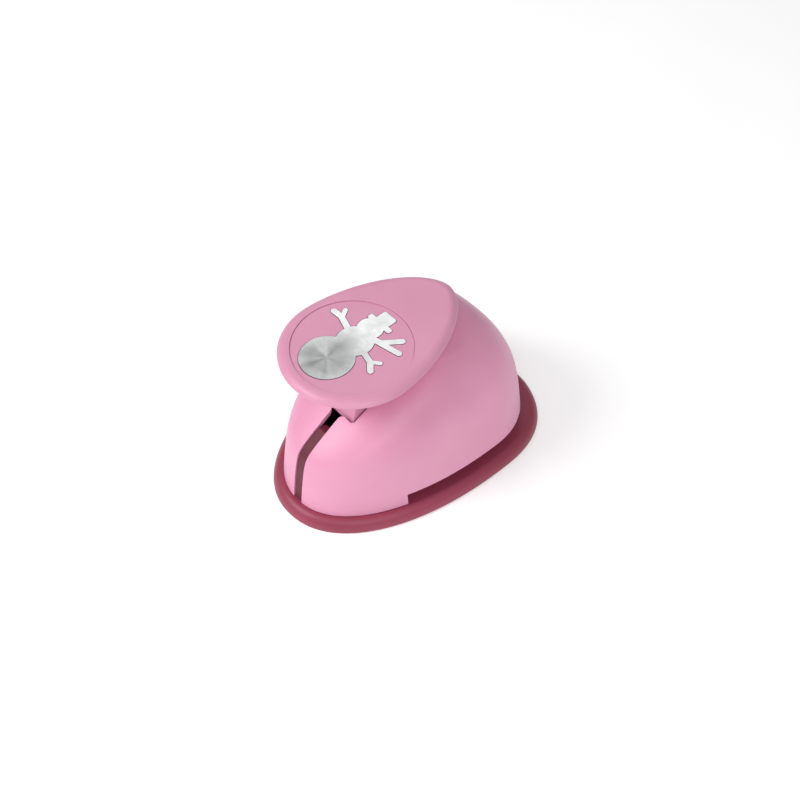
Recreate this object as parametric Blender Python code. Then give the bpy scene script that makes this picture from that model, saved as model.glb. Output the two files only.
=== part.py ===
"""Lever craft punch: paper goes in at the back, the thumb pad at the front is pressed down."""
import math

import bmesh
import bpy
from mathutils import Matrix, Vector

# All sizes are in metres. X is sideways, the front (thumb pad) is at -Y, and the base rests on Z = 0.
MM = 0.001
GAP = 0.3 * MM

# The parts are laid out about the base's egg, then moved so the footprint's centre is the origin.
CENTRING = 1.52 * MM

# Egg outlines: half width, Y of the widest point, front Y, rear Y, roundness of the two halves.
BASE_EGG = (38.5 * MM, 17 * MM, -56 * MM, 55 * MM, 2.15, 2.55)
SHELL_EGG = (34.4 * MM, 17 * MM, -51.7 * MM, 48 * MM, 2.15, 2.3)
FRAME_EGG = (31.0 * MM, 17 * MM, -48.3 * MM, 44.6 * MM, 2.15, 2.3)
PAD_EGG = (26 * MM, -22.7 * MM, -48.7 * MM, 23.3 * MM, 2.0, 1.75)

DECK_Z = 5.2 * MM
CAVITY_Z = 1.6 * MM
RIM = 3 * MM
REAR_NOTCH_Y = 52.9 * MM
REAR_NOTCH_HALF = 18.2 * MM

# Throat: the slot that the paper slides into, from the step in the shell's side to the back.
THROAT_Y = -22.5 * MM
THROAT_TOP = 10.7 * MM

# Shell profiles as (distance, height) in mm, from the lower edge up to the crown.
SHELL_FRONT = [(68.7, 5.5), (67.6, 15), (66, 24.5), (64.3, 28.8), (61, 31.9), (55.5, 35.6),
               (47.8, 40.2), (37, 45), (24, 50), (11, 55.4), (0, 58.8)]
SHELL_SIDE = [(34.4, 5.5), (33.6, 15), (32.6, 26), (31.4, 34), (29.8, 39.8), (27.2, 45.2),
              (23.5, 50.2), (18.8, 54), (13, 56.9), (6.5, 58.4), (0, 58.8)]
SHELL_REAR = [(31, 5.5), (29.8, 15), (28.2, 24.5), (26.2, 33), (23.4, 40.5), (19.8, 47),
              (16, 52), (12.2, 55.4), (8.4, 57.5), (4.4, 58.5), (0, 58.8)]
SHELL_WALL = 2 * MM

SLIT_HALF = 2.2 * MM
NECK_OPENING_HALF = 8.3 * MM
NECK_OPENING_FRONT = -30.6 * MM
NECK_OPENING_REAR = -5 * MM

# Lever: one shaft at the back, the press pin over the punch, the pad at the front.
PIVOT_Y = 35 * MM
PIVOT_Z = 32 * MM
PRESS_Y = 2 * MM
PRESS_Z = 34.1 * MM
SHAFT_R = 2 * MM
PRESS_R = 2.5 * MM
NECK_FRONT_R = 65 * MM
NECK_REAR_R = 47.5 * MM

PAD_RIM_Z = 67.2 * MM
PAD_TOP_Z = 69.2 * MM
RING_Y = -22.7 * MM
RING_R = 21.6 * MM
LABEL_Z = 67.6 * MM

# Punch stack, one above the other over the die.
DIE_Y = 2 * MM
FRAME_Z = 10.8 * MM
FRAME_TOP = 12.8 * MM
CUTTER_BOTTOM = 11.1 * MM
CUTTER_TOP = 23.7 * MM
HOLDER_BOTTOM = 24 * MM
HOLDER_TOP = 29.5 * MM
POST_X = 20.5 * MM

# Screw positions, seen from above.
BASE_SCREWS = [(side * x * MM, y * MM) for x, y in ((12, -38), (19, -28)) for side in (-1, 1)]
DIE_SCREWS = [(side * 19.6 * MM, y) for y in (DIE_Y - 20 * MM, DIE_Y + 20 * MM) for side in (-1, 1)]
CUTTER_SCREWS = ((-2 * MM, DIE_Y - 11 * MM), (-2 * MM, DIE_Y + 10.4 * MM))
PAD_SCREWS = ((0, -20 * MM), (0, -12.5 * MM))

COLOURS = {
    "pink": ((0.71, 0.31, 0.43), 0.0, 0.42),
    "plum": ((0.27, 0.07, 0.11), 0.0, 0.45),
    "foil": ((0.72, 0.73, 0.73), 1.0, 0.28),
    "steel": ((0.55, 0.56, 0.58), 1.0, 0.35),
    "spring": ((0.45, 0.46, 0.48), 1.0, 0.3),
    "zinc": ((0.62, 0.62, 0.6), 1.0, 0.4),
}


def clear_scene():
    for old in list(bpy.data.objects):
        bpy.data.objects.remove(old, do_unlink=True)


def material_for(name, look):
    colour, metal, rough = COLOURS[look]
    material = bpy.data.materials.new(name + "_mat")
    material.use_nodes = True
    shader = material.node_tree.nodes["Principled BSDF"]
    shader.inputs["Base Color"].default_value = (*colour, 1.0)
    shader.inputs["Metallic"].default_value = metal
    shader.inputs["Roughness"].default_value = rough
    return material


def make_object(name, bm, look=None, smooth=False):
    """Turn a bmesh into an object; one with no look is a hidden cutter."""
    bmesh.ops.recalc_face_normals(bm, faces=bm.faces)
    mesh = bpy.data.meshes.new(name)
    bm.to_mesh(mesh)
    bm.free()
    for face in mesh.polygons:
        face.use_smooth = smooth
    thing = bpy.data.objects.new(name, mesh)
    bpy.context.scene.collection.objects.link(thing)
    if look:
        mesh.materials.append(material_for(name, look))
    else:
        thing.hide_render = True
        thing.display_type = "WIRE"
    return thing


def boolean(target, tool, operation="DIFFERENCE", tidy_self=False):
    modifier = target.modifiers.new(operation.lower(), "BOOLEAN")
    modifier.operation = operation
    modifier.solver = "EXACT"
    modifier.use_self = tidy_self
    modifier.object = tool


def egg_point(egg, turn, inset=0.0):
    """Point on an egg outline; turn runs from the rear (0) round by the +X side."""
    half, middle, front, rear, front_power, rear_power = egg
    across, along = math.sin(turn), math.cos(turn)
    power = front_power if along < 0 else rear_power
    reach = (middle - front if along < 0 else rear - middle) - inset
    x = math.copysign((half - inset) * abs(across) ** (2 / power), across)
    y = middle + math.copysign(reach * abs(along) ** (2 / power), along)
    return x, y


def egg_ring(egg, count, inset=0.0):
    return [egg_point(egg, 2 * math.pi * step / count, inset) for step in range(count)]


def prism(outline, low, high, bm=None):
    """Extrude a closed XY outline from low to high."""
    bm = bm or bmesh.new()
    bottom = [bm.verts.new((x, y, low)) for x, y in outline]
    top = [bm.verts.new((x, y, high)) for x, y in outline]
    bm.faces.new(bottom[::-1])
    bm.faces.new(top)
    for i in range(len(outline)):
        j = (i + 1) % len(outline)
        bm.faces.new((bottom[i], bottom[j], top[j], top[i]))
    return bm


def side_prism(profile, left, right):
    """Extrude a closed YZ outline from left to right along X."""
    bm = bmesh.new()
    near = [bm.verts.new((left, y, z)) for y, z in profile]
    far = [bm.verts.new((right, y, z)) for y, z in profile]
    bm.faces.new(near[::-1])
    bm.faces.new(far)
    for i in range(len(profile)):
        j = (i + 1) % len(profile)
        bm.faces.new((near[i], near[j], far[j], far[i]))
    return bm


def box(x0, x1, y0, y1, z0, z1, bm=None):
    return prism([(x0, y0), (x1, y0), (x1, y1), (x0, y1)], z0, z1, bm)


def arc(centre, radius, start, end, steps):
    """Points on an arc, with angles in degrees from the first axis."""
    angles = [math.radians(start + (end - start) * i / steps) for i in range(steps + 1)]
    return [(centre[0] + radius * math.cos(a), centre[1] + radius * math.sin(a)) for a in angles]


def rounded_rect(x0, x1, y0, y1, radius, steps=4):
    corners = [((x1 - radius, y1 - radius), 0), ((x0 + radius, y1 - radius), 90),
               ((x0 + radius, y0 + radius), 180), ((x1 - radius, y0 + radius), 270)]
    outline = []
    for centre, start in corners:
        outline += arc(centre, radius, start, start + 90, steps)
    return outline


def circle(x, y, radius, count=24):
    return arc((x, y), radius, 0, 360 - 360 / count, count - 1)


def drill(target, places, radius, low, high, count=16):
    """Cut round vertical holes of one size through the target."""
    holes = bmesh.new()
    for x, y in places:
        prism(circle(x, y, radius, count), low, high, holes)
    boolean(target, make_object(f"{target.name}_drill_{len(target.modifiers)}", holes))


def rod_x(y, z, radius, left, right, count=24):
    return side_prism(circle(y, z, radius, count), left, right)


def lathe(profile, x, y, count=20):
    """Solid of revolution about a vertical line, from (radius, height) points, axis to axis."""
    bm = bmesh.new()
    low = bm.verts.new((x, y, profile[0][1]))
    high = bm.verts.new((x, y, profile[-1][1]))
    rings = []
    for radius, z in profile[1:-1]:
        rings.append([bm.verts.new((x + radius * math.cos(2 * math.pi * i / count),
                                    y + radius * math.sin(2 * math.pi * i / count), z))
                      for i in range(count)])
    for i in range(count):
        j = (i + 1) % count
        bm.faces.new((low, rings[0][j], rings[0][i]))
        bm.faces.new((high, rings[-1][i], rings[-1][j]))
        for lower, upper in zip(rings, rings[1:]):
            bm.faces.new((lower[i], lower[j], upper[j], upper[i]))
    return bm


def stack_rings(rings):
    """Closed skin through rings of equal point count, with flat end faces."""
    bm = bmesh.new()
    rows = [[bm.verts.new(point) for point in ring] for ring in rings]
    count = len(rows[0])
    bm.faces.new(rows[0][::-1])
    bm.faces.new(rows[-1])
    for lower, upper in zip(rows, rows[1:]):
        for i in range(count):
            j = (i + 1) % count
            bm.faces.new((lower[i], lower[j], upper[j], upper[i]))
    return bm


def screw(name, x, y, head_low, head_high, shank_end, head_r, shank_r, look="zinc"):
    """Flat-head screw with a cross recess; shank_end is below or above the head."""
    up = shank_end > head_high
    start, stop = (head_high, head_low) if up else (head_low, head_high)
    sign = 1 if up else -1
    profile = [(0, shank_end), (shank_r * 0.6, shank_end), (shank_r, shank_end - sign * 0.6 * MM),
               (shank_r, start), (head_r, start), (head_r * 0.82, stop), (0, stop)]
    thing = make_object(name, lathe(profile, x, y, 16), look)
    low, high = sorted((stop + sign * 0.45 * MM, stop - sign * 1 * MM))
    long, wide = head_r * 0.55, head_r * 0.14
    plus = [(wide, wide), (wide, long), (-wide, long), (-wide, wide), (-long, wide), (-long, -wide),
            (-wide, -wide), (-wide, -long), (wide, -long), (wide, -wide), (long, -wide), (long, wide)]
    cross = prism([(x + a, y + b) for a, b in plus], low, high)
    boolean(thing, make_object(name + "_recess", cross))
    return thing


def capsule(x0, y0, x1, y1, radius):
    """Outline of a stroke with round ends."""
    heading = math.degrees(math.atan2(y1 - y0, x1 - x0))
    return (arc((x1, y1), radius, heading - 90, heading + 90, 5)
            + arc((x0, y0), radius, heading + 90, heading + 270, 5))


def figure_outlines(centre_y, grow):
    """A plain snowman: body, torso, head, hat, two twig arms and a scarf tail in two strands."""
    grow = grow / MM
    shapes = [circle(-2, -9.6, 9.9 + grow, 30), circle(-1.3, 2.4, 6.9 + grow, 24),
              circle(-2.2, 10.2, 4.9 + grow, 20),
              rounded_rect(-7.2 - grow, 4 + grow, 13 - grow, 15.4 + grow, 0.8 + grow),
              rounded_rect(-4.8 - grow, 1.6 + grow, 14 - grow, 19.6 + grow, 1 + grow),
              capsule(-6, 4, -13.2, 6.4, 1.25 + grow), capsule(-13.2, 6.4, -17, 6.2, 1.25 + grow),
              capsule(-12.6, 6.2, -14.6, 9.4, 1 + grow),
              capsule(4, 1.4, 10.2, -0.2, 1.2 + grow), capsule(9.4, 0, 12.6, -2.6, 1.2 + grow),
              capsule(9.4, 0, 12.2, 2.2, 0.9 + grow),
              capsule(0.5, 7, 6, 8.6, 1.35 + grow), capsule(5.4, 8.6, 9.8, 14.4, 1.25 + grow),
              capsule(5.4, 8.2, 13.2, 9.8, 1.2 + grow)]
    return [[(x * MM, centre_y + y * MM) for x, y in outline] for outline in shapes]


def figure_tool(name, centre_y, grow, low, high):
    bm = bmesh.new()
    step = 0.011 * MM
    for i, outline in enumerate(figure_outlines(centre_y, grow)):
        prism(outline, low - i * step, high + i * step, bm)
    return make_object(name, bm)


def build_base():
    count = 72
    rings = [[(x, y, 0.0) for x, y in egg_ring(BASE_EGG, count, 0.5 * MM)]]
    for angle in range(0, 91, 18):
        inset = 3.9 * MM * (1 - math.cos(math.radians(angle)))
        z = 0.5 * MM + (DECK_Z - 0.5 * MM) * math.sin(math.radians(angle))
        rings.append([(x, y, z) for x, y in egg_ring(BASE_EGG, count, inset)])
    tray = make_object("base_tray", stack_rings(rings), "plum")
    cavity = make_object("base_cavity", prism(egg_ring(BASE_EGG, 48, RIM), -MM, CAVITY_Z))
    boolean(tray, cavity)
    pocket = rounded_rect(-22.3 * MM, 22.3 * MM, -20.8 * MM, 24.8 * MM, 1.3 * MM)
    boolean(tray, make_object("die_pocket", prism(pocket, 2.9 * MM, 7 * MM)))
    window = rounded_rect(-17 * MM, 17 * MM, -18.2 * MM, 22.2 * MM, 3 * MM)
    boolean(tray, make_object("chad_window", prism(window, -MM, 4 * MM)))
    notch = rounded_rect(-REAR_NOTCH_HALF, REAR_NOTCH_HALF, REAR_NOTCH_Y, 60 * MM, 1.2 * MM)
    boolean(tray, make_object("rear_notch", prism(notch, -MM, 7 * MM)))
    drill(tray, BASE_SCREWS, 1.7 * MM, -MM, 7 * MM)
    drill(tray, DIE_SCREWS, 1.1 * MM, -MM, 7 * MM, 12)


def build_die():
    plate = rounded_rect(-22 * MM, 22 * MM, DIE_Y - 22.5 * MM, DIE_Y + 22.5 * MM, 1 * MM)
    die = make_object("die_plate", prism(plate, 3.2 * MM, DECK_Z), "steel")
    boolean(die, figure_tool("die_figure", DIE_Y, 0, 2 * MM, 6 * MM), tidy_self=True)
    drill(die, DIE_SCREWS, 1.1 * MM, 2 * MM, 6 * MM)
    drill(die, DIE_SCREWS, 2 * MM, 4.1 * MM, 6 * MM)
    for number, (x, y) in enumerate(DIE_SCREWS, 1):
        screw(f"die_screw_{number}", x, y, 4.4 * MM, 5.1 * MM, 1.8 * MM, 1.6 * MM, 0.8 * MM)


def build_front_block():
    outline = [p for p in egg_ring(FRAME_EGG, 48) if p[1] < THROAT_Y]
    block = make_object("front_block", prism(outline, DECK_Z + GAP, 10.5 * MM), "plum")
    fin = [(-51.2, 5.5), (-50.1, 15), (-48.5, 24.3), (-46.9, 28.4), (-43.7, 31.3), (-38, 35.1),
           (-34.6, 34.4), (-39, 28), (-42, 20), (-43, 5.5)]
    fin = [(y * MM, z * MM) for y, z in fin]
    upright = side_prism(fin, -1.9 * MM, 1.9 * MM)
    boolean(block, make_object("fin_tool", upright), "UNION")
    drill(block, BASE_SCREWS, 1.7 * MM, 4 * MM, 12 * MM)


def build_frame():
    frame = make_object("upper_frame", prism(egg_ring(FRAME_EGG, 48), FRAME_Z, FRAME_TOP), "steel")
    ear = [(31 * MM, FRAME_Z), (39.4 * MM, FRAME_Z)] + arc((PIVOT_Y, PIVOT_Z), 4.3 * MM, 0, 180, 10)
    for side, (left, right) in (("left", (-8, -6.2)), ("right", (6.2, 8))):
        tool = side_prism(ear, left * MM, right * MM)
        boolean(frame, make_object(f"ear_{side}_tool", tool), "UNION")
    boolean(frame, make_object("shaft_hole", rod_x(PIVOT_Y, PIVOT_Z, SHAFT_R + GAP, -12 * MM, 12 * MM)))
    boolean(frame, figure_tool("frame_figure", DIE_Y, GAP, 9 * MM, 15 * MM), tidy_self=True)
    fin_slot = box(-2.3 * MM, 2.3 * MM, -60 * MM, -41 * MM, 9 * MM, 15 * MM)
    boolean(frame, make_object("frame_fin_slot", fin_slot))
    drill(frame, BASE_SCREWS, 1.7 * MM, 9 * MM, 15 * MM)
    drill(frame, [(-POST_X, DIE_Y), (POST_X, DIE_Y)], 1.3 * MM, 9 * MM, 15 * MM)
    for number, (x, y) in enumerate(BASE_SCREWS, 1):
        screw(f"base_screw_{number}", x, y, 0.3 * MM, 1.3 * MM, 14.4 * MM, 3 * MM, 1.4 * MM)


def build_posts_and_springs():
    for name, side in (("left", -1), ("right", 1)):
        post = [(0, FRAME_Z), (1 * MM, FRAME_Z), (1 * MM, FRAME_TOP + GAP), (1.7 * MM, FRAME_TOP + GAP),
                (1.7 * MM, HOLDER_TOP + GAP), (3 * MM, HOLDER_TOP + GAP), (3 * MM, 31.4 * MM),
                (2.4 * MM, 32 * MM), (0, 32 * MM)]
        make_object(f"guide_post_{name}", lathe(post, side * POST_X, DIE_Y, 20), "steel", False)
        spring(f"return_spring_{name}", side * POST_X, DIE_Y)


def spring(name, x, y):
    """Open coil round a guide post, with a round wire."""
    turns, wire, radius = 4.5, 0.55 * MM, 3.0 * MM
    low, high = FRAME_TOP + GAP + wire, HOLDER_BOTTOM - GAP - wire
    steps, sides = 63, 6
    rings = []
    for i in range(steps + 1):
        part = i / steps
        turn = 2 * math.pi * turns * part
        out = Vector((math.cos(turn), math.sin(turn), 0))
        centre = Vector((x, y, low + (high - low) * part)) + out * radius
        rings.append([centre + out * wire * math.cos(2 * math.pi * k / sides)
                      + Vector((0, 0, wire * math.sin(2 * math.pi * k / sides)))
                      for k in range(sides)])
    make_object(name, stack_rings(rings), "spring", True)


def build_pivot():
    make_object("pivot_pin", rod_x(PIVOT_Y, PIVOT_Z, SHAFT_R, -9.6 * MM, 9.6 * MM), "steel")
    for name, side in (("left", -1), ("right", 1)):
        ends = sorted((side * 8.3 * MM, side * 9.1 * MM))
        ring = circle(PIVOT_Y, PIVOT_Z, 3.6 * MM, 20)
        clip = make_object(f"pivot_clip_{name}", side_prism(ring, *ends), "spring")
        bore = rod_x(PIVOT_Y, PIVOT_Z, SHAFT_R + 0.2 * MM, -12 * MM, 12 * MM)
        boolean(clip, make_object(f"clip_bore_{name}", bore))
        mouth = box(-12 * MM, 12 * MM, PIVOT_Y - 1.2 * MM, PIVOT_Y + 1.2 * MM,
                    PIVOT_Z - 6 * MM, PIVOT_Z)
        boolean(clip, make_object(f"clip_mouth_{name}", mouth))


def profile_points(profile, count):
    """Smooth curve through (distance, height) points, count points in all."""
    last = len(profile) - 1
    points = []
    for i in range(count):
        place = last * i / (count - 1)
        k = min(int(place), last - 1)
        t = place - k
        p0, p1, p2, p3 = (profile[min(max(k + d, 0), last)] for d in (-1, 0, 1, 2))
        points.append([0.5 * (2 * b + (c - a) * t + (2 * a - 5 * b + 4 * c - d) * t * t
                              + (3 * b - a - 3 * c + d) * t ** 3)
                       for a, b, c, d in zip(p0, p1, p2, p3)])
    return points


def build_shell():
    around, rows = 60, 15
    middle = SHELL_EGG[1]
    curves = [profile_points(p, rows) for p in (SHELL_FRONT, SHELL_SIDE, SHELL_REAR)]
    bm = bmesh.new()
    rings = []
    for k in range(rows - 1):
        ring = []
        for i in range(around):
            turn = 2 * math.pi * i / around
            x, y = egg_point(SHELL_EGG, turn)
            along = math.cos(turn)
            weights = (along ** 2 if along < 0 else 0, 1 - along ** 2, along ** 2 if along >= 0 else 0)
            scale = sum(w * c[k][0] / c[0][0] for w, c in zip(weights, curves))
            z = sum(w * c[k][1] for w, c in zip(weights, curves))
            ring.append(bm.verts.new((x * scale, middle + (y - middle) * scale, z * MM)))
        rings.append(ring)
    crown = bm.verts.new((0, middle, SHELL_SIDE[-1][1] * MM))
    for lower, upper in zip(rings, rings[1:]):
        for i in range(around):
            j = (i + 1) % around
            bm.faces.new((lower[i], lower[j], upper[j], upper[i]))
    for i in range(around):
        bm.faces.new((rings[-1][i], rings[-1][(i + 1) % around], crown))
    shell = make_object("cover_shell", bm, "pink", True)
    wall = shell.modifiers.new("wall", "SOLIDIFY")
    wall.thickness = SHELL_WALL
    wall.offset = -1
    wall.use_even_offset = True
    throat = box(-50 * MM, 50 * MM, THROAT_Y, 60 * MM, -5 * MM, THROAT_TOP)
    boolean(shell, make_object("throat_tool", throat))
    slit = box(-SLIT_HALF, SLIT_HALF, -60 * MM, NECK_OPENING_FRONT + 3 * MM, -5 * MM, 50 * MM)
    boolean(shell, make_object("slit_tool", slit))
    opening = rounded_rect(-NECK_OPENING_HALF, NECK_OPENING_HALF, NECK_OPENING_FRONT,
                           NECK_OPENING_REAR, 1.6 * MM)
    boolean(shell, make_object("neck_opening_tool", prism(opening, 30 * MM, 70 * MM)))


def neck_profile():
    """Side view of the neck: front and back are arcs about the pivot, so it swings clear."""
    def on_arc(radius, z):
        return PIVOT_Y - math.sqrt(radius ** 2 - (z - PIVOT_Z) ** 2), z
    front = [on_arc(NECK_FRONT_R, z * MM) for z in (38, 43, 48, 53, 58, 63, 66)]
    back = [on_arc(NECK_REAR_R, z * MM) for z in (66, 61, 56, 51, 46, 41, 38)]
    return front + back


def build_pad():
    count = 60
    rings = [[(x, y, 65.4 * MM) for x, y in egg_ring(PAD_EGG, count, 2.6 * MM)],
             [(x, y, 66.2 * MM) for x, y in egg_ring(PAD_EGG, count, 0.5 * MM)],
             [(x, y, 66.8 * MM) for x, y in egg_ring(PAD_EGG, count, 0.05 * MM)]]
    for angle in (0, 25, 50, 70, 90):
        inset = 4.2 * MM * (1 - math.cos(math.radians(angle)))
        z = PAD_RIM_Z + (PAD_TOP_Z - PAD_RIM_Z) * math.sin(math.radians(angle))
        rings.append([(x, y, z) for x, y in egg_ring(PAD_EGG, count, inset)])
    pad = make_object("thumb_pad", stack_rings(rings), "pink")
    neck = side_prism(neck_profile(), -7.6 * MM, 7.6 * MM)
    boolean(pad, make_object("neck_tool", neck), "UNION")
    rib = [(-26, 50), (-44, 64.2), (-44, 66), (-20, 66), (-20, 50)]
    rib = side_prism([(y * MM, z * MM) for y, z in rib], -1.5 * MM, 1.5 * MM)
    boolean(pad, make_object("rib_tool", rib), "UNION")
    socket = box(-5.3 * MM, 5.3 * MM, -26.5 * MM, 10 * MM, 30 * MM, 45.1 * MM)
    boolean(pad, make_object("arm_socket", socket))
    recess = prism(circle(0, RING_Y, RING_R, 48), LABEL_Z, 75 * MM)
    boolean(pad, make_object("label_recess", recess))
    drill(pad, PAD_SCREWS, 1.6 * MM, 40 * MM, 55 * MM)


def build_label():
    """Round insert in the pad, with the figure as a window over a silver plate."""
    disc = circle(0, RING_Y, RING_R - GAP, 48)
    label = make_object("label_disc", prism(disc, LABEL_Z + GAP, PAD_TOP_Z), "pink")
    tool = figure_tool("label_window", RING_Y, 0.1 * MM, 68.2 * MM, 72 * MM)
    boolean(label, tool, tidy_self=True)
    motif = make_object("motif_plate", box(-24 * MM, 24 * MM, RING_Y - 24 * MM, RING_Y + 24 * MM,
                                           68.5 * MM, 69.4 * MM), "foil")
    shape = figure_tool("motif_shape", RING_Y, -0.2 * MM, 66 * MM, 72 * MM)
    boolean(motif, shape, "INTERSECT", tidy_self=True)


def build_arm():
    """Folded steel channel, open below, that carries the pad and the press pin."""
    outline = ([(26, 30.6), (2, 31.2), (-12, 34.2), (-24.5, 37.4), (-25.6, 40), (-25, 44.2), (-24.2, 44.8),
                (-7.5, 44.8), (4, 42.6), (26, 38.4)])
    outline = [(y * MM, z * MM) for y, z in outline]
    outline += arc((PIVOT_Y, PIVOT_Z), 4.2 * MM, 110, -110, 10)
    arm = make_object("lever_arm", side_prism(outline, -5 * MM, 5 * MM), "steel")
    inside = [(60, 20), (-22.8, 20), (-22.8, 43.2), (-7.8, 43.2), (4, 41), (26, 36.6), (60, 36.6)]
    inside = [(y * MM, z * MM) for y, z in inside]
    boolean(arm, make_object("arm_inside", side_prism(inside, -3.6 * MM, 3.6 * MM)))
    boolean(arm, make_object("arm_shaft_hole",
                             rod_x(PIVOT_Y, PIVOT_Z, SHAFT_R + GAP, -12 * MM, 12 * MM)))
    boolean(arm, make_object("arm_press_hole",
                             rod_x(PRESS_Y, PRESS_Z, PRESS_R + 0.2 * MM, -12 * MM, 12 * MM)))
    drill(arm, PAD_SCREWS, 1.6 * MM, 42 * MM, 48 * MM)
    for number, (x, y) in enumerate(PAD_SCREWS, 1):
        screw(f"pad_screw_{number}", x, y, 41.6 * MM, 42.9 * MM, 53 * MM, 2.6 * MM, 1.3 * MM)
    make_object("press_pin", rod_x(PRESS_Y, PRESS_Z, PRESS_R, -6.4 * MM, 6.4 * MM), "steel")


def build_punch():
    outline = rounded_rect(-24.5 * MM, 24.5 * MM, DIE_Y - 20 * MM, DIE_Y + 20.5 * MM, 4 * MM)
    holder = make_object("punch_holder", prism(outline, HOLDER_BOTTOM, HOLDER_TOP), "steel")
    drill(holder, [(-POST_X, DIE_Y), (POST_X, DIE_Y)], 2 * MM, 20 * MM, 34 * MM, 20)
    drill(holder, CUTTER_SCREWS, 1.6 * MM, 20 * MM, 34 * MM)
    drill(holder, CUTTER_SCREWS, 2.8 * MM, 27.8 * MM, 34 * MM, 20)
    cutter = make_object("punch_cutter", box(-24 * MM, 24 * MM, DIE_Y - 24 * MM, DIE_Y + 24 * MM,
                                             CUTTER_BOTTOM, CUTTER_TOP), "steel")
    shape = figure_tool("cutter_shape", DIE_Y, -GAP, 8 * MM, 28 * MM)
    boolean(cutter, shape, "INTERSECT", tidy_self=True)
    drill(cutter, CUTTER_SCREWS, 1.6 * MM, 16 * MM, 30 * MM)
    for number, (x, y) in enumerate(CUTTER_SCREWS, 1):
        screw(f"cutter_screw_{number}", x, y, 28.1 * MM, 29.4 * MM, 17 * MM, 2.4 * MM, 1.3 * MM)
    wear = rounded_rect(-3.3 * MM, 3.3 * MM, DIE_Y - 6 * MM, DIE_Y + 6 * MM, 1 * MM)
    make_object("wear_plate", prism(wear, HOLDER_TOP + GAP, PRESS_Z - PRESS_R - GAP), "steel")


def centre_on_origin():
    for thing in bpy.data.objects:
        thing.data.transform(Matrix.Translation((0, CENTRING, 0)))


clear_scene()
build_base()
build_die()
build_front_block()
build_frame()
build_posts_and_springs()
build_pivot()
build_shell()
build_pad()
build_label()
build_arm()
build_punch()
centre_on_origin()
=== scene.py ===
"""Looks for the lever craft punch: satin pink and plum plastic, a silver motif, steel inside."""
import math

import bmesh
import bpy
from mathutils import Matrix, Vector


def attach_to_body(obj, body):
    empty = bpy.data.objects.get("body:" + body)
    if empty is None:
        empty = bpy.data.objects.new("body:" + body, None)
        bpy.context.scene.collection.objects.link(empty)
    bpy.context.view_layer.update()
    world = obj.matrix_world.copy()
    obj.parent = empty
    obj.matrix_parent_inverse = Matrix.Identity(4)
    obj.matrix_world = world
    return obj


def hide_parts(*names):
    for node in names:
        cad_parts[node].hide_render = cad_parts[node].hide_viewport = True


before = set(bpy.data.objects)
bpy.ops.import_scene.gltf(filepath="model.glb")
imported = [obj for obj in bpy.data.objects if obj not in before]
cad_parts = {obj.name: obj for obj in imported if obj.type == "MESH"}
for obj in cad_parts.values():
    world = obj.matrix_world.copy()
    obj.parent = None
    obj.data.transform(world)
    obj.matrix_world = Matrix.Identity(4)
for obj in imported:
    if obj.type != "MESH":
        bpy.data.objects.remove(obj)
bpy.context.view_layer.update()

# Sizes are in metres. The pieces are drawn about the base's egg, as the CAD is, and attach()
# moves them by CENTRING so that the footprint's centre is the origin.
MM = 0.001
GAP = 0.3 * MM
CENTRING = 1.52 * MM

# Cutters that go right through a piece reach these far past the punch.
BELOW = -5 * MM
ABOVE = 80 * MM
BEYOND = 60 * MM

# Points round the large outlines, and the angle in degrees above which an edge is crisp.
AROUND = 240
CRISP = 40

# Egg outlines: half width, Y of the widest point, front Y, rear Y, roundness of front and rear.
MIDDLE_Y = 17 * MM
RING_Y = -22.7 * MM
BASE_EGG = (38.5 * MM, MIDDLE_Y, -56 * MM, 55 * MM, 2.15, 2.55)
SHELL_EGG = (34.4 * MM, MIDDLE_Y, -51.7 * MM, 48 * MM, 2.15, 2.3)
FRAME_EGG = (31 * MM, MIDDLE_Y, -48.3 * MM, 44.6 * MM, 2.15, 2.3)
PAD_EGG = (26 * MM, RING_Y, -48.7 * MM, 23.3 * MM, 2.0, 1.75)

# Base: its eased lower edge as (inset, height) in mm, the rounded side above it up to the deck,
# the hollow below the deck, the openings as x0, x1, y0, y1 and corner radius, and the screws.
BASE_FOOT = [(0.5, 0), (0.18, 0.12)]
EDGE_Z = 0.5 * MM
EDGE_INSET = 3.9 * MM
DECK_Z = 5.2 * MM
CAVITY_Z = 1.6 * MM
RIM = 3 * MM
DIE_POCKET = (-22.3 * MM, 22.3 * MM, -20.8 * MM, 24.8 * MM, 1.3 * MM)
DIE_POCKET_FLOOR_Z = 2.9 * MM
CHAD_WINDOW = (-17 * MM, 17 * MM, -18.2 * MM, 22.2 * MM, 3 * MM)
REAR_NOTCH = (-18.2 * MM, 18.2 * MM, 52.9 * MM, BEYOND, 1.2 * MM)
BASE_SCREWS = [(side * x * MM, y * MM) for side in (-1, 1) for x, y in ((12, -38), (19, -28))]
DIE_SCREWS = [(side * 19.6 * MM, y * MM) for side in (-1, 1) for y in (-18, 22)]
BASE_SCREW_R = 1.7 * MM
DIE_SCREW_R = 1.1 * MM

# Throat: the slot that the paper slides into.
THROAT_Y = -22.5 * MM
THROAT_TOP = 10.7 * MM
BLOCK_TOP = 10.5 * MM

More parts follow.
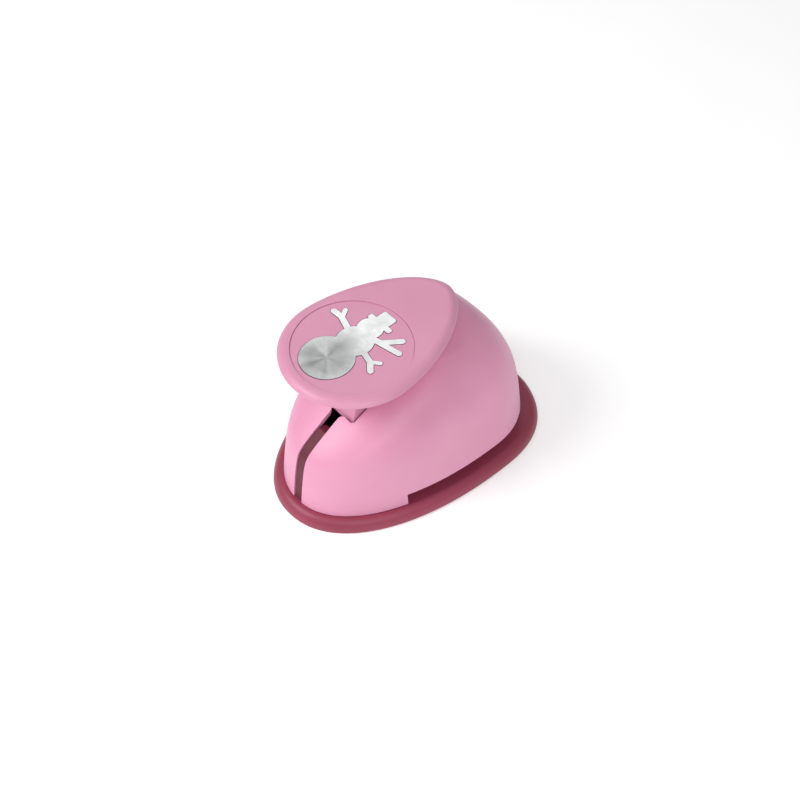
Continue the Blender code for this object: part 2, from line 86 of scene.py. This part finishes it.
# Shell profiles as (distance from the middle, height) in mm, from the lower edge to the crown.
SHELL_FRONT = [(68.7, 5.5), (67.6, 15), (66, 24.5), (64.3, 28.8), (61, 31.9), (55.5, 35.6),
               (47.8, 40.2), (37, 45), (24, 50), (11, 55.4), (0, 58.8)]
SHELL_SIDE = [(34.4, 5.5), (33.6, 15), (32.6, 26), (31.4, 34), (29.8, 39.8), (27.2, 45.2),
              (23.5, 50.2), (18.8, 54), (13, 56.9), (6.5, 58.4), (0, 58.8)]
SHELL_REAR = [(31, 5.5), (29.8, 15), (28.2, 24.5), (26.2, 33), (23.4, 40.5), (19.8, 47),
              (16, 52), (12.2, 55.4), (8.4, 57.5), (4.4, 58.5), (0, 58.8)]
SHELL_ROWS = 64
SHELL_WALL = 2 * MM
SLIT_HALF = 2.2 * MM
NECK_OPENING_HALF = 8.3 * MM
NECK_OPENING_FRONT = -30.6 * MM
NECK_OPENING_REAR = -5 * MM
EASED_ABOVE_Z = 55 * MM
EASING_PASSES = 120

# The fin that fills the slit: its front edge, then the rest, as (Y, height) in mm.
FIN_FRONT = [(-51.2, 5.5), (-50.1, 15), (-48.5, 24.3), (-46.9, 28.4), (-43.7, 31.3), (-38, 35.1)]
FIN_BACK = [(-34.6, 34.4), (-39, 28), (-42, 20), (-43, 5.5)]
FIN_HALF = 1.9 * MM

# Lever: shaft, the neck's two arcs about it, the rib in front and the arm's socket.
PIVOT_Y = 35 * MM
PIVOT_Z = 32 * MM
NECK_FRONT_R = 65 * MM
NECK_REAR_R = 47.5 * MM
NECK_HALF = 7.6 * MM
NECK_LOW_Z = 38 * MM
NECK_HIGH_Z = 66 * MM
RIB = [(-26, 50), (-44, 64.2), (-44, 66), (-20, 66), (-20, 50)]
RIB_HALF = 1.5 * MM
ARM_SOCKET = (-5.3 * MM, 5.3 * MM, -26.5 * MM, 10 * MM, 30 * MM, 45.1 * MM)

# Pad: its underside as (inset, rise) in mm, and the eased top above its rim.
PAD_BOTTOM_Z = 65.4 * MM
PAD_UNDERSIDE = [(2.6, 0), (2, 0.1), (0.9, 0.55), (0.35, 0.95), (0.04, 1.4)]
PAD_RIM_Z = 67.2 * MM
PAD_TOP_Z = 69.2 * MM
PAD_TOP_INSET = 3.7 * MM

# Label: the disc in the pad's round recess, and the motif in the disc's window.
RING_R = 21.6 * MM
LABEL_FLOOR_Z = 67.6 * MM
LABEL_TOP_Z = 68.85 * MM
LABEL_GAP = 0.12 * MM
WINDOW_FLOOR_Z = 68.2 * MM
WINDOW_GROW = 0.16 * MM
MOTIF_BOTTOM_Z = 68.45 * MM
MOTIF_TOP_Z = 68.95 * MM
MOTIF_GROW = -0.08 * MM

# The figure in mm from the label's middle. Rounds are X, Y, radius and point count for the body,
# the torso and the head. The hat is two boxes as x0, x1, y0, y1 and corner radius. Strokes are
# two ends and a radius, three each for the left arm, the right arm and the scarf.
ROUNDS = [(-2, -9.6, 9.9, 120), (-1.3, 2.4, 6.9, 90), (-2.2, 10.2, 4.9, 72)]
HAT = [(-7.2, 4, 13, 15.4, 0.8), (-4.8, 1.6, 14, 19.6, 1)]
STROKES = [(-6, 4, -13.2, 6.4, 1.25), (-13.2, 6.4, -17, 6.2, 1.25), (-12.6, 6.2, -14.6, 9.4, 1),
           (4, 1.4, 10.2, -0.2, 1.2), (9.4, 0, 12.6, -2.6, 1.2), (9.4, 0, 12.2, 2.2, 0.9),
           (0.5, 7, 6, 8.6, 1.35), (5.4, 8.6, 9.8, 14.4, 1.25), (5.4, 8.2, 13.2, 9.8, 1.2)]

# The foil is turned about the middle of the body, and its painted reflection is centred there too.
BELLY = (ROUNDS[0][0] * MM, RING_Y + ROUNDS[0][1] * MM + CENTRING, MOTIF_TOP_Z)


# ---------------------------------------------------------------- mesh helpers

def add_object(name, bm):
    bmesh.ops.recalc_face_normals(bm, faces=bm.faces)
    mesh = bpy.data.meshes.new(name)
    bm.to_mesh(mesh)
    bm.free()
    thing = bpy.data.objects.new(name, mesh)
    bpy.context.scene.collection.objects.link(thing)
    return thing


def apply_modifiers(thing):
    deps = bpy.context.evaluated_depsgraph_get()
    mesh = bpy.data.meshes.new_from_object(thing.evaluated_get(deps))
    thing.modifiers.clear()
    thing.data = mesh


def cut(target, tool, operation="DIFFERENCE", tidy_self=False):
    """Boolean with a throwaway tool, applied at once; tidy_self is for a tool that laps itself."""
    modifier = target.modifiers.new("cut", "BOOLEAN")
    modifier.operation = operation
    modifier.solver = "EXACT"
    modifier.use_self = tidy_self
    modifier.object = tool
    apply_modifiers(target)
    bpy.data.objects.remove(tool, do_unlink=True)


def even_shading(thing):
    """Smooth shading that keeps flat faces flat beside their small edge roundings."""
    for face in thing.data.polygons:
        face.use_smooth = True
    thing.data.set_sharp_from_angle(angle=math.radians(CRISP))
    modifier = thing.modifiers.new("even_shading", "WEIGHTED_NORMAL")
    modifier.mode = "FACE_AREA"
    modifier.weight = 50
    modifier.keep_sharp = True


def split_big_faces(thing):
    """Triangulate faces of over four corners, so that faces with holes survive the rounding."""
    bm = bmesh.new()
    bm.from_mesh(thing.data)
    big = [face for face in bm.faces if len(face.verts) > 4]
    bmesh.ops.triangulate(bm, faces=big, ngon_method="BEAUTY")
    bm.to_mesh(thing.data)
    bm.free()


def soften(thing, width, segments=2, angle=CRISP):
    """Round the crisp edges, then apply."""
    split_big_faces(thing)
    modifier = thing.modifiers.new("soften", "BEVEL")
    modifier.width = width
    modifier.segments = segments
    modifier.limit_method = "ANGLE"
    modifier.angle_limit = math.radians(angle)
    modifier.use_clamp_overlap = True
    modifier.miter_outer = "MITER_ARC"
    apply_modifiers(thing)


def weld(thing, distance):
    """Merge the near-identical points that the cuts leave behind."""
    bm = bmesh.new()
    bm.from_mesh(thing.data)
    bmesh.ops.remove_doubles(bm, verts=bm.verts, dist=distance)
    bmesh.ops.dissolve_degenerate(bm, edges=bm.edges, dist=distance)
    bm.to_mesh(thing.data)
    bm.free()


def egg_point(egg, turn, inset=0.0):
    """Point on an egg outline; turn runs from the rear (0) round by the +X side."""
    half, middle, front, rear, front_power, rear_power = egg
    across, along = math.sin(turn), math.cos(turn)
    power = front_power if along < 0 else rear_power
    reach = (middle - front if along < 0 else rear - middle) - inset
    x = math.copysign((half - inset) * abs(across) ** (2 / power), across)
    y = middle + math.copysign(reach * abs(along) ** (2 / power), along)
    return x, y


def egg_ring(egg, count, inset=0.0):
    return [egg_point(egg, 2 * math.pi * step / count, inset) for step in range(count)]


def level_ring(egg, inset, z):
    """Fine egg ring at one height."""
    return [(x, y, z) for x, y in egg_ring(egg, AROUND, inset)]


def prism(outline, low, high, bm=None):
    """Extrude a closed XY outline from low to high, into bm where one is given."""
    bm = bm or bmesh.new()
    bottom = [bm.verts.new((x, y, low)) for x, y in outline]
    top = [bm.verts.new((x, y, high)) for x, y in outline]
    bm.faces.new(bottom[::-1])
    bm.faces.new(top)
    for i in range(len(outline)):
        j = (i + 1) % len(outline)
        bm.faces.new((bottom[i], bottom[j], top[j], top[i]))
    return bm


def side_prism(profile, left, right):
    """Extrude a closed YZ outline from left to right along X."""
    bm = bmesh.new()
    near = [bm.verts.new((left, y, z)) for y, z in profile]
    far = [bm.verts.new((right, y, z)) for y, z in profile]
    bm.faces.new(near[::-1])
    bm.faces.new(far)
    for i in range(len(profile)):
        j = (i + 1) % len(profile)
        bm.faces.new((near[i], near[j], far[j], far[i]))
    return bm


def box(x0, x1, y0, y1, z0, z1):
    return prism([(x0, y0), (x1, y0), (x1, y1), (x0, y1)], z0, z1)


def arc(centre, radius, start, end, steps):
    """Points on an arc, with angles in degrees from the first axis."""
    angles = [math.radians(start + (end - start) * i / steps) for i in range(steps + 1)]
    return [(centre[0] + radius * math.cos(a), centre[1] + radius * math.sin(a)) for a in angles]


def rounded_rect(x0, x1, y0, y1, radius, steps=8):
    corners = [((x1 - radius, y1 - radius), 0), ((x0 + radius, y1 - radius), 90),
               ((x0 + radius, y0 + radius), 180), ((x1 - radius, y0 + radius), 270)]
    outline = []
    for centre, start in corners:
        outline += arc(centre, radius, start, start + 90, steps)
    return outline


def circle(x, y, radius, count=48):
    return arc((x, y), radius, 0, 360 - 360 / count, count - 1)


def capsule(x0, y0, x1, y1, radius):
    """Outline of a stroke with round ends."""
    heading = math.degrees(math.atan2(y1 - y0, x1 - x0))
    return (arc((x1, y1), radius, heading - 90, heading + 90, 14)
            + arc((x0, y0), radius, heading + 90, heading + 270, 14))


def figure_outlines(grow):
    """The same plain snowman as the die, with every shape larger by grow all round."""
    grow = grow / MM
    shapes = [circle(x, y, radius + grow, count) for x, y, radius, count in ROUNDS]
    shapes += [rounded_rect(x0 - grow, x1 + grow, y0 - grow, y1 + grow, radius + grow)
               for x0, x1, y0, y1, radius in HAT]
    shapes += [capsule(*ends, radius + grow) for *ends, radius in STROKES]
    return [[(x * MM, RING_Y + y * MM) for x, y in outline] for outline in shapes]


def figure_tool(grow, low, high):
    """The figure as one cutter; the shapes differ a little in height so that no ends coincide."""
    bm = bmesh.new()
    step = 0.011 * MM
    for i, outline in enumerate(figure_outlines(grow)):
        prism(outline, low - i * step, high + i * step, bm)
    return add_object("figure_tool", bm)


def stack_rings(rings):
    """Closed skin through rings of equal point count, with flat end faces."""
    bm = bmesh.new()
    rows = [[bm.verts.new(point) for point in ring] for ring in rings]
    count = len(rows[0])
    bm.faces.new(rows[0][::-1])
    bm.faces.new(rows[-1])
    for lower, upper in zip(rows, rows[1:]):
        for i in range(count):
            j = (i + 1) % count
            bm.faces.new((lower[i], lower[j], upper[j], upper[i]))
    return bm


def profile_points(profile, count):
    """Smooth curve through (distance, height) points, count points in all."""
    last = len(profile) - 1
    points = []
    for i in range(count):
        place = last * i / (count - 1)
        k = min(int(place), last - 1)
        t = place - k
        p0, p1, p2, p3 = (profile[min(max(k + d, 0), last)] for d in (-1, 0, 1, 2))
        points.append([0.5 * (2 * b + (c - a) * t + (2 * a - 5 * b + 4 * c - d) * t * t
                              + (3 * b - a - 3 * c + d) * t ** 3)
                       for a, b, c, d in zip(p0, p1, p2, p3)])
    return points


def drill(target, places, radius, count=48):
    """Cut round vertical holes of one size right through the target."""
    holes = bmesh.new()
    for x, y in places:
        prism(circle(x, y, radius, count), BELOW, ABOVE, holes)
    cut(target, add_object("tool", holes))


# ---------------------------------------------------------------- pieces

def shell_skin():
    """Outer skin of the cover, blended between its front, side and rear profiles."""
    curves = [profile_points(p, SHELL_ROWS) for p in (SHELL_FRONT, SHELL_SIDE, SHELL_REAR)]
    bm = bmesh.new()
    rings = []
    for k in range(SHELL_ROWS - 1):
        ring = []
        for i in range(AROUND):
            turn = 2 * math.pi * (i + 0.5) / AROUND
            x, y = egg_point(SHELL_EGG, turn)
            along = math.cos(turn)
            weights = (along ** 2 if along < 0 else 0, 1 - along ** 2,
                       along ** 2 if along >= 0 else 0)
            scale = sum(w * c[k][0] / c[0][0] for w, c in zip(weights, curves))
            z = sum(w * c[k][1] for w, c in zip(weights, curves))
            ring.append(bm.verts.new((x * scale, MIDDLE_Y + (y - MIDDLE_Y) * scale, z * MM)))
        rings.append(ring)
    crown = bm.verts.new((0, MIDDLE_Y, SHELL_SIDE[-1][1] * MM))
    for lower, upper in zip(rings, rings[1:]):
        for i in range(AROUND):
            j = (i + 1) % AROUND
            bm.faces.new((lower[i], lower[j], upper[j], upper[i]))
    for i in range(AROUND):
        bm.faces.new((rings[-1][i], rings[-1][(i + 1) % AROUND], crown))
    # The front slope meets the crown at an angle, so the top is eased into a dome.
    top = [vert for vert in bm.verts if vert.co.z > EASED_ABOVE_Z]
    for _ in range(EASING_PASSES):
        bmesh.ops.smooth_vert(bm, verts=top, factor=0.5, use_axis_z=True)
    return bm


def neck_and_slit_outline():
    """The slit and the neck opening as one outline, so that their shared corners are rounded."""
    fillet, corner = 1.8 * MM, 1.6 * MM
    wide, front, rear = NECK_OPENING_HALF, NECK_OPENING_FRONT, NECK_OPENING_REAR
    right = ([(SLIT_HALF, -BEYOND), (SLIT_HALF, front - fillet)]
             + arc((SLIT_HALF + fillet, front - fillet), fillet, 180, 90, 8)
             + arc((wide - corner, front + corner), corner, -90, 0, 8)
             + arc((wide - corner, rear - corner), corner, 0, 90, 8))
    return right + [(-x, y) for x, y in reversed(right)]


def make_shell():
    shell = add_object("shell_visual", shell_skin())
    wall = shell.modifiers.new("wall", "SOLIDIFY")
    wall.thickness = SHELL_WALL
    wall.offset = -1
    wall.use_even_offset = True
    apply_modifiers(shell)
    throat = box(-BEYOND, BEYOND, THROAT_Y, BEYOND, BELOW, THROAT_TOP)
    cut(shell, add_object("tool", throat))
    cut(shell, add_object("tool", prism(neck_and_slit_outline(), BELOW, ABOVE)))
    weld(shell, 0.02 * MM)
    soften(shell, 0.32 * MM, 3)
    even_shading(shell)
    return shell


def make_base():
    rings = [level_ring(BASE_EGG, inset * MM, z * MM) for inset, z in BASE_FOOT]
    for step in range(13):
        angle = math.radians(90 * step / 12)
        inset = EDGE_INSET * (1 - math.cos(angle))
        z = EDGE_Z + (DECK_Z - EDGE_Z) * math.sin(angle)
        rings.append(level_ring(BASE_EGG, inset, z))
    base = add_object("base_visual", stack_rings(rings))
    cut(base, add_object("tool", prism(egg_ring(BASE_EGG, 160, RIM), BELOW, CAVITY_Z)))
    pocket = prism(rounded_rect(*DIE_POCKET), DIE_POCKET_FLOOR_Z, ABOVE)
    cut(base, add_object("tool", pocket))
    for opening in (CHAD_WINDOW, REAR_NOTCH):
        cut(base, add_object("tool", prism(rounded_rect(*opening), BELOW, ABOVE)))
    drill(base, BASE_SCREWS, BASE_SCREW_R)
    drill(base, DIE_SCREWS, DIE_SCREW_R, 32)
    soften(base, 0.25 * MM)
    even_shading(base)
    return base


def make_block():
    outline = [p for p in egg_ring(FRAME_EGG, 200) if p[1] < THROAT_Y]
    block = add_object("block_visual", prism(outline, DECK_Z + GAP, BLOCK_TOP))
    fin = [(y * MM, z * MM) for y, z in profile_points(FIN_FRONT, 31) + FIN_BACK]
    cut(block, add_object("tool", side_prism(fin, -FIN_HALF, FIN_HALF)), "UNION")
    drill(block, BASE_SCREWS, BASE_SCREW_R)
    soften(block, 0.3 * MM)
    even_shading(block)
    return block


def pad_skin():
    """Teardrop pad without its neck: a short underside, a narrow edge and an eased top."""
    rings = [level_ring(PAD_EGG, inset * MM, PAD_BOTTOM_Z + rise * MM)
             for inset, rise in PAD_UNDERSIDE]
    start = math.radians(28)
    for step in range(15):
        angle = start + (math.pi / 2 - start) * step / 14
        inset = PAD_TOP_INSET * (math.cos(start) - math.cos(angle)) / math.cos(start)
        lift = (math.sin(angle) - math.sin(start)) / (1 - math.sin(start))
        rings.append(level_ring(PAD_EGG, inset, PAD_RIM_Z + (PAD_TOP_Z - PAD_RIM_Z) * lift))
    return stack_rings(rings)


def neck_profile():
    """Side view of the neck: front and back are arcs about the shaft."""
    heights = [NECK_LOW_Z + (NECK_HIGH_Z - NECK_LOW_Z) * i / 14 for i in range(15)]

    def on_arc(radius, z):
        return PIVOT_Y - math.sqrt(radius ** 2 - (z - PIVOT_Z) ** 2), z
    return ([on_arc(NECK_FRONT_R, z) for z in heights]
            + [on_arc(NECK_REAR_R, z) for z in reversed(heights)])


def make_pad():
    pad = add_object("pad_visual", pad_skin())
    cut(pad, add_object("tool", side_prism(neck_profile(), -NECK_HALF, NECK_HALF)), "UNION")
    rib = side_prism([(y * MM, z * MM) for y, z in RIB], -RIB_HALF, RIB_HALF)
    cut(pad, add_object("tool", rib), "UNION")
    cut(pad, add_object("tool", box(*ARM_SOCKET)))
    recess = prism(circle(0, RING_Y, RING_R, 180), LABEL_FLOOR_Z, ABOVE)
    cut(pad, add_object("tool", recess))
    soften(pad, 0.3 * MM, 3, 30)
    even_shading(pad)
    return pad


def make_label():
    disc = circle(0, RING_Y, RING_R - LABEL_GAP, 180)
    label = add_object("label_visual", prism(disc, LABEL_FLOOR_Z + GAP, LABEL_TOP_Z))
    cut(label, figure_tool(WINDOW_GROW, WINDOW_FLOOR_Z, ABOVE), tidy_self=True)
    soften(label, 0.16 * MM)
    even_shading(label)
    return label


def make_motif():
    slab = box(-RING_R, RING_R, RING_Y - RING_R, RING_Y + RING_R, MOTIF_BOTTOM_Z, MOTIF_TOP_Z)
    motif = add_object("motif_visual", slab)
    cut(motif, figure_tool(MOTIF_GROW, LABEL_FLOOR_Z, ABOVE), "INTERSECT", tidy_self=True)
    return motif


# ---------------------------------------------------------------- materials

def new_material(name):
    material = bpy.data.materials.new(name)
    material.use_nodes = True
    tree = material.node_tree
    return material, tree, tree.nodes["Principled BSDF"]


def coords(tree, scale=(1, 1, 1)):
    """Object coordinates, stretched by scale."""
    where = tree.nodes.new("ShaderNodeTexCoord")
    mapping = tree.nodes.new("ShaderNodeMapping")
    mapping.inputs["Scale"].default_value = scale
    tree.links.new(where.outputs["Object"], mapping.inputs["Vector"])
    return mapping.outputs["Vector"]


def noise(tree, vector, scale, detail=3.0, rough=0.5):
    node = tree.nodes.new("ShaderNodeTexNoise")
    node.inputs["Scale"].default_value = scale
    node.inputs["Detail"].default_value = detail
    node.inputs["Roughness"].default_value = rough
    tree.links.new(vector, node.inputs["Vector"])
    return node.outputs["Fac"]


def remap(tree, value, low, high, start=0.25, end=0.75):
    """Bring values from start to end, a noise's usual spread, to the range from low to high."""
    node = tree.nodes.new("ShaderNodeMapRange")
    node.inputs["From Min"].default_value = start
    node.inputs["From Max"].default_value = end
    node.inputs["To Min"].default_value = low
    node.inputs["To Max"].default_value = high
    tree.links.new(value, node.inputs["Value"])
    return node.outputs["Result"]


def vector_math(tree, operation, vector, other=None):
    """Vector operation with an optional constant; a length comes out as a plain value."""
    node = tree.nodes.new("ShaderNodeVectorMath")
    node.operation = operation
    tree.links.new(vector, node.inputs[0])
    if other:
        node.inputs[1].default_value = other
    return node.outputs["Value" if operation == "LENGTH" else "Vector"]


def mixed(tree, blend, amount, first, second):
    """Blend two colours; the amount and the colours may each be a socket or a plain value."""
    node = tree.nodes.new("ShaderNodeMix")
    node.data_type = "RGBA"
    node.blend_type = blend
    # A colour mix takes its amount on input 0 and its colours on 6 and 7, and gives output 2.
    for index, value in ((0, amount), (6, first), (7, second)):
        if isinstance(value, bpy.types.NodeSocket):
            tree.links.new(value, node.inputs[index])
        else:
            node.inputs[index].default_value = value
    return node.outputs[2]


def tint(tree, value, dark, light):
    """Colour between dark and light, by a noise."""
    ramp = tree.nodes.new("ShaderNodeValToRGB")
    ramp.color_ramp.elements[0].position = 0.3
    ramp.color_ramp.elements[0].color = (*dark, 1)
    ramp.color_ramp.elements[1].position = 0.7
    ramp.color_ramp.elements[1].color = (*light, 1)
    tree.links.new(value, ramp.inputs["Fac"])
    return ramp.outputs["Color"]


def bump(tree, shader, value, distance, strength=1.0, previous=None):
    node = tree.nodes.new("ShaderNodeBump")
    node.inputs["Distance"].default_value = distance
    node.inputs["Strength"].default_value = strength
    tree.links.new(value, node.inputs["Height"])
    if previous:
        tree.links.new(previous, node.inputs["Normal"])
    tree.links.new(node.outputs["Normal"], shader.inputs["Normal"])
    return node.outputs["Normal"]


def srgb(*levels):
    """Linear colour from levels of 0 to 255."""
    shares = [level / 255 for level in levels]
    return tuple(v / 12.92 if v <= 0.04045 else ((v + 0.055) / 1.055) ** 2.4 for v in shares)


def plastic(name, dark, light, rough=(0.38, 0.47)):
    """Moulded plastic: faint flow marks, fine spark-eroded grain, a few scuffs in the gloss."""
    material, tree, shader = new_material(name)
    place = coords(tree)
    cloud = noise(tree, place, 38, 4)
    tree.links.new(tint(tree, cloud, dark, light), shader.inputs["Base Color"])
    scuffs = noise(tree, coords(tree, (1, 3.2, 1)), 420, 5, 0.65)
    tree.links.new(remap(tree, scuffs, *rough), shader.inputs["Roughness"])
    grain = bump(tree, shader, noise(tree, place, 2600, 2), 0.02 * MM)
    bump(tree, shader, noise(tree, place, 90, 2), 0.06 * MM, 0.5, grain)
    shader.inputs["Subsurface Weight"].default_value = 0.12
    shader.inputs["Subsurface Radius"].default_value = (4 * MM, 1.6 * MM, 1.8 * MM)
    shader.inputs["Subsurface Scale"].default_value = 0.5
    shader.inputs["IOR"].default_value = 1.49
    return material


def brushed(name, colour, rough=(0.24, 0.4), stretch=(1, 30, 1), scale=500):
    """Metal with drawn scratches along one direction and cloudy gloss."""
    material, tree, shader = new_material(name)
    lines = noise(tree, coords(tree, stretch), scale, 4, 0.6)
    dark = tuple(level * 0.8 for level in colour)
    tree.links.new(tint(tree, lines, dark, colour), shader.inputs["Base Color"])
    cloud = noise(tree, coords(tree), 130, 4)
    tree.links.new(remap(tree, cloud, *rough), shader.inputs["Roughness"])
    bump(tree, shader, lines, 0.012 * MM)
    shader.inputs["Metallic"].default_value = 1.0
    return material


def foil_with_painted_reflection():
    """Silver motif turned about the figure's body; painted reflection fans out from there in its
    colour.
    """
    material, tree, shader = new_material("painted_reflection_foil_look")
    where = tree.nodes.new("ShaderNodeTexCoord")
    shift = vector_math(tree, "SUBTRACT", where.outputs["Object"], BELLY)
    heading = vector_math(tree, "NORMALIZE", shift)
    # Painted reflection: broad dark and light fans about the body, crossed by fine bright and dark
    # rays.
    painted_sectors = tint(tree, noise(tree, heading, 1.1, 1), (0.25, 0.26, 0.26), (0.56, 0.57, 0.57))
    painted_rays = tint(tree, noise(tree, heading, 24, 6, 0.7), (0.72, 0.72, 0.72), (1, 1, 1))
    body = mixed(tree, "MULTIPLY", 1.0, painted_sectors, painted_rays)
    # The painted reflection fades into plain silver between these distances from the body's
    # middle.
    beyond = remap(tree, vector_math(tree, "LENGTH", shift), 0, 1, 6 * MM, 17 * MM)
    colour = mixed(tree, "MIX", beyond, body, (0.72, 0.73, 0.73, 1))
    tree.links.new(colour, shader.inputs["Base Color"])
    cloud = noise(tree, coords(tree), 260, 4)
    tree.links.new(remap(tree, cloud, 0.25, 0.34), shader.inputs["Roughness"])
    bump(tree, shader, noise(tree, shift, 3000, 3), 0.01 * MM, 0.5)
    around = vector_math(tree, "CROSS_PRODUCT", shift, (0, 0, 1))
    tree.links.new(around, shader.inputs["Tangent"])
    shader.inputs["Anisotropic"].default_value = 0.6
    shader.inputs["Metallic"].default_value = 1.0
    return material


pink = plastic("pink_look", srgb(221, 149, 180), srgb(228, 158, 188))
# The pad is the same pink plastic as the shell, made a little darker: painted shade for its
# upward-facing top.
shaded_pad_pink = plastic("shaded_pad_look", srgb(213, 145, 173), srgb(220, 153, 181))
plum = plastic("plum_look", srgb(143, 52, 75), srgb(154, 59, 85), (0.4, 0.5))
# The front block is the same plum plastic as the base, made much darker: painted shade for the
# slit that its fin fills.
shaded_block_plum = plastic("shaded_block_look", srgb(92, 22, 40), srgb(102, 28, 47), (0.55, 0.65))
foil = foil_with_painted_reflection()
steel = brushed("steel_look", (0.56, 0.57, 0.58))
spring_steel = brushed("spring_look", (0.42, 0.43, 0.45), (0.22, 0.34), (1, 1, 18), 700)
zinc = brushed("zinc_look", (0.64, 0.63, 0.60), (0.3, 0.45), (4, 4, 1), 600)


# ---------------------------------------------------------------- build and attach

def attach(piece, body, node, material):
    """Put a finished piece in place of its CAD node."""
    piece.data.transform(Matrix.Translation((0, CENTRING, 0)))
    piece.data.materials.clear()
    piece.data.materials.append(material)
    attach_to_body(piece, body)
    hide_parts(node)


def dress(node, name):
    """Give a CAD node that stays its metal, and all but the springs a narrow edge rounding."""
    if "spring" in name or "clip" in name:
        look = spring_steel
    elif "screw" in name:
        look = zinc
    else:
        look = steel
    node.data.materials.clear()
    node.data.materials.append(look)
    if "spring" not in name:
        edge = node.modifiers.new("edge", "BEVEL")
        edge.width = 0.12 * MM
        edge.segments = 2
        edge.limit_method = "ANGLE"
        edge.angle_limit = math.radians(CRISP)


# Each new piece: its maker, the body it rides on, the node it stands for, slot and material.
PIECES = [(make_shell, "housing", "cover_shell", "pink_plastic", pink),
          (make_base, "housing", "base_tray", "plum_plastic", plum),
          # The front block's plum carries painted shade.
          (make_block, "housing", "front_block", "plum_plastic", shaded_block_plum),
          # The pad and the label take the pink with painted shade.
          (make_pad, "lever", "thumb_pad", "pink_plastic", shaded_pad_pink),
          (make_label, "lever", "label_disc", "pink_plastic", shaded_pad_pink),
          # The motif's foil holds a painted reflection.
          (make_motif, "lever", "motif_plate", "silver_foil", foil)]
for make, body_name, node_name, slot_name, look in PIECES:
    attach(make(), body_name, node_name, look)

replaced = {piece[2] for piece in PIECES}
for node_name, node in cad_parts.items():
    if node_name not in replaced:
        dress(node, node_name)


# ---------------------------------------------------------------- stage, light, camera

# The floor lies just under the base, so that the two never share a plane.
FLOOR_Z = -0.2 * MM
FLOOR_REACH = 1.6
FLOOR_GLOW = 0.3
WORLD_STRENGTH = 0.42

# Lamps: name, place, what it faces, disc size and power.
LAMPS = [("key", (-0.24, -0.50, 0.57), (0, 0, 0.03), 0.32, 3.05),
         ("fill", (0.52, -0.34, 0.60), (0, 0, 0.03), 0.5, 2.1),
         ("back", (-0.40, 0.30, 0.62), (0, 0, 0.05), 0.28, 0.28)]

# The camera looks from the front right, down at the middle of the punch.
AZIMUTH = math.radians(48.0)
ELEVATION = math.radians(50.2)
DISTANCE = 0.506
AIM = Vector((0, CENTRING, 30 * MM))
LENS = 61.04
SHIFT = (-0.00134, -0.01863)


def make_floor():
    bm = bmesh.new()
    corners = ((-1, -1), (1, -1), (1, 1), (-1, 1))
    bm.faces.new([bm.verts.new((x * FLOOR_REACH, y * FLOOR_REACH, FLOOR_Z)) for x, y in corners])
    floor = add_object("floor", bm)
    material, tree, shader = new_material("floor_look")
    mottle = noise(tree, coords(tree), 14, 3)
    pale = tint(tree, mottle, (0.90, 0.90, 0.90), (0.92, 0.92, 0.92))
    tree.links.new(pale, shader.inputs["Base Color"])
    shader.inputs["Roughness"].default_value = 0.7
    shader.inputs["Emission Color"].default_value = (1, 1, 1, 1)
    shader.inputs["Emission Strength"].default_value = FLOOR_GLOW
    floor.data.materials.append(material)


def area_light(name, place, target, size, power):
    data = bpy.data.lights.new(name, "AREA")
    data.shape = "DISK"
    data.size = size
    data.energy = power
    lamp = bpy.data.objects.new(name, data)
    lamp.location = place
    lamp.rotation_euler = (Vector(target) - Vector(place)).to_track_quat("-Z", "Y").to_euler()
    bpy.context.scene.collection.objects.link(lamp)


def make_world():
    world = bpy.data.worlds.new("studio")
    world.use_nodes = True
    background = world.node_tree.nodes["Background"]
    background.inputs["Color"].default_value = (1, 1, 1, 1)
    background.inputs["Strength"].default_value = WORLD_STRENGTH
    bpy.context.scene.world = world
    bpy.context.scene.view_settings.view_transform = "Standard"


def make_camera():
    look_back = Vector((math.sin(AZIMUTH) * math.cos(ELEVATION),
                        -math.cos(AZIMUTH) * math.cos(ELEVATION),
                        math.sin(ELEVATION)))
    data = bpy.data.cameras.new("camera")
    data.lens = LENS
    data.sensor_width = 36
    data.shift_x, data.shift_y = SHIFT
    data.clip_start = 0.01
    camera = bpy.data.objects.new("camera", data)
    camera.location = AIM + look_back * DISTANCE
    camera.rotation_euler = (-look_back).to_track_quat("-Z", "Y").to_euler()
    bpy.context.scene.collection.objects.link(camera)
    return camera


make_floor()
for lamp in LAMPS:
    area_light(*lamp)
make_world()
bpy.context.scene.camera = make_camera()
